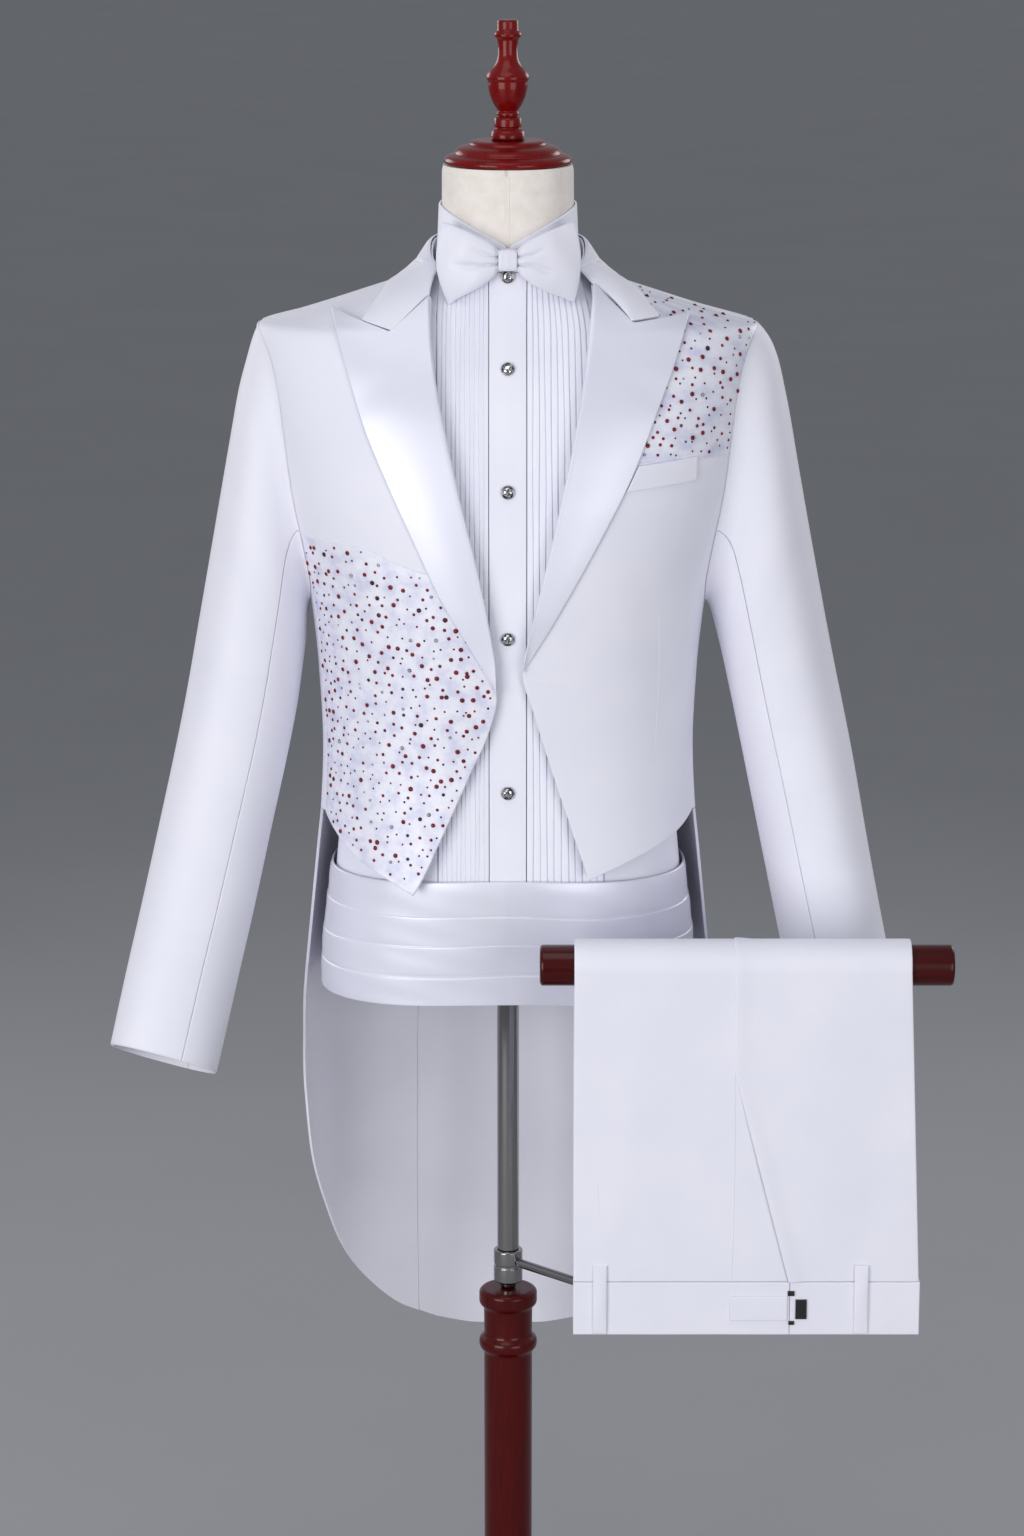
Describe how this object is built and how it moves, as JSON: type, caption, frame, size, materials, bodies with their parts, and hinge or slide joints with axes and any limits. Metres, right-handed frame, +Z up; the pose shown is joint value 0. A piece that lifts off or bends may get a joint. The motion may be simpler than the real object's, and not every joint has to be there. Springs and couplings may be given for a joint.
{
  "type": "embellished tuxedo on a dress form",
  "caption": "White tailcoat suit with satin lapels and stone-set panels, shirt, bow tie and cummerbund on a limbless dress form, the trousers folded over the stand's bar.",
  "frame": {"origin": "centre of the base's underside, where the stand rests on the floor", "axes": "+Z up, -Y the front of the coat, +X the wearer's left, so the trouser bar is on the +X side"},
  "size_m": [0.7487, 0.4003, 1.6982],
  "materials": {
    "suit_cloth": "matte white suiting",
    "embellished_cloth": "white figured satin set with dark red stones",
    "satin": "glossy white satin",
    "shirt_cotton": "white cotton",
    "studs": "clear stones in silver rims",
    "linen": "cream linen",
    "stained_wood": "glossy dark red stain",
    "chrome": "polished",
    "black_metal": "satin black"
  },
  "bodies": {
    "root": {"bar_arm": "chrome", "base": "stained_wood", "belt_loop_l": "suit_cloth", "belt_loop_r": "suit_cloth", "bow_knot": "satin", "bow_loop_l": "satin", "bow_loop_r": "satin", "breast_pocket_welt": "suit_cloth", "coat_back_l": "suit_cloth", "coat_back_r": "suit_cloth", "coat_collar": "suit_cloth", "coat_collar_stand": "suit_cloth", "coat_front_embellished_r": "embellished_cloth", "coat_front_l": "suit_cloth", "coat_front_plain_r": "suit_cloth", "coat_side_l": "suit_cloth", "coat_side_r": "suit_cloth", "coat_yoke_l": "embellished_cloth", "column": "stained_wood", "cummerbund": "satin", "dress_form": "linen", "finial": "stained_wood", "lapel_l": "satin", "lapel_r": "satin", "neck_cap": "stained_wood", "pole": "chrome", "pole_clamp": "chrome", "shirt_back": "shirt_cotton", "shirt_bib_l": "shirt_cotton", "shirt_bib_r": "shirt_cotton", "shirt_collar": "shirt_cotton", "shirt_front_l": "shirt_cotton", "shirt_front_r": "shirt_cotton", "shirt_placket": "shirt_cotton", "shirt_stud_1": "studs", "shirt_stud_2": "studs", "shirt_stud_3": "studs", "shirt_stud_4": "studs", "shirt_stud_5": "studs", "sleeve_top_l": "suit_cloth", "sleeve_top_r": "suit_cloth", "sleeve_under_l": "suit_cloth", "sleeve_under_r": "suit_cloth", "tail_skirt_l": "suit_cloth", "tail_skirt_r": "suit_cloth", "trouser_back_l": "suit_cloth", "trouser_back_r": "suit_cloth", "trouser_bar": "stained_wood", "trouser_front_l": "suit_cloth", "trouser_front_r": "suit_cloth", "trouser_leg_l": "suit_cloth", "trouser_leg_r": "suit_cloth", "waist_hook": "black_metal", "waist_tab": "suit_cloth", "waistband_back": "suit_cloth", "waistband_end_l": "suit_cloth", "waistband_end_r": "suit_cloth", "waistband_front_l": "suit_cloth", "waistband_front_r": "suit_cloth"}
  },
  "joints": []
}
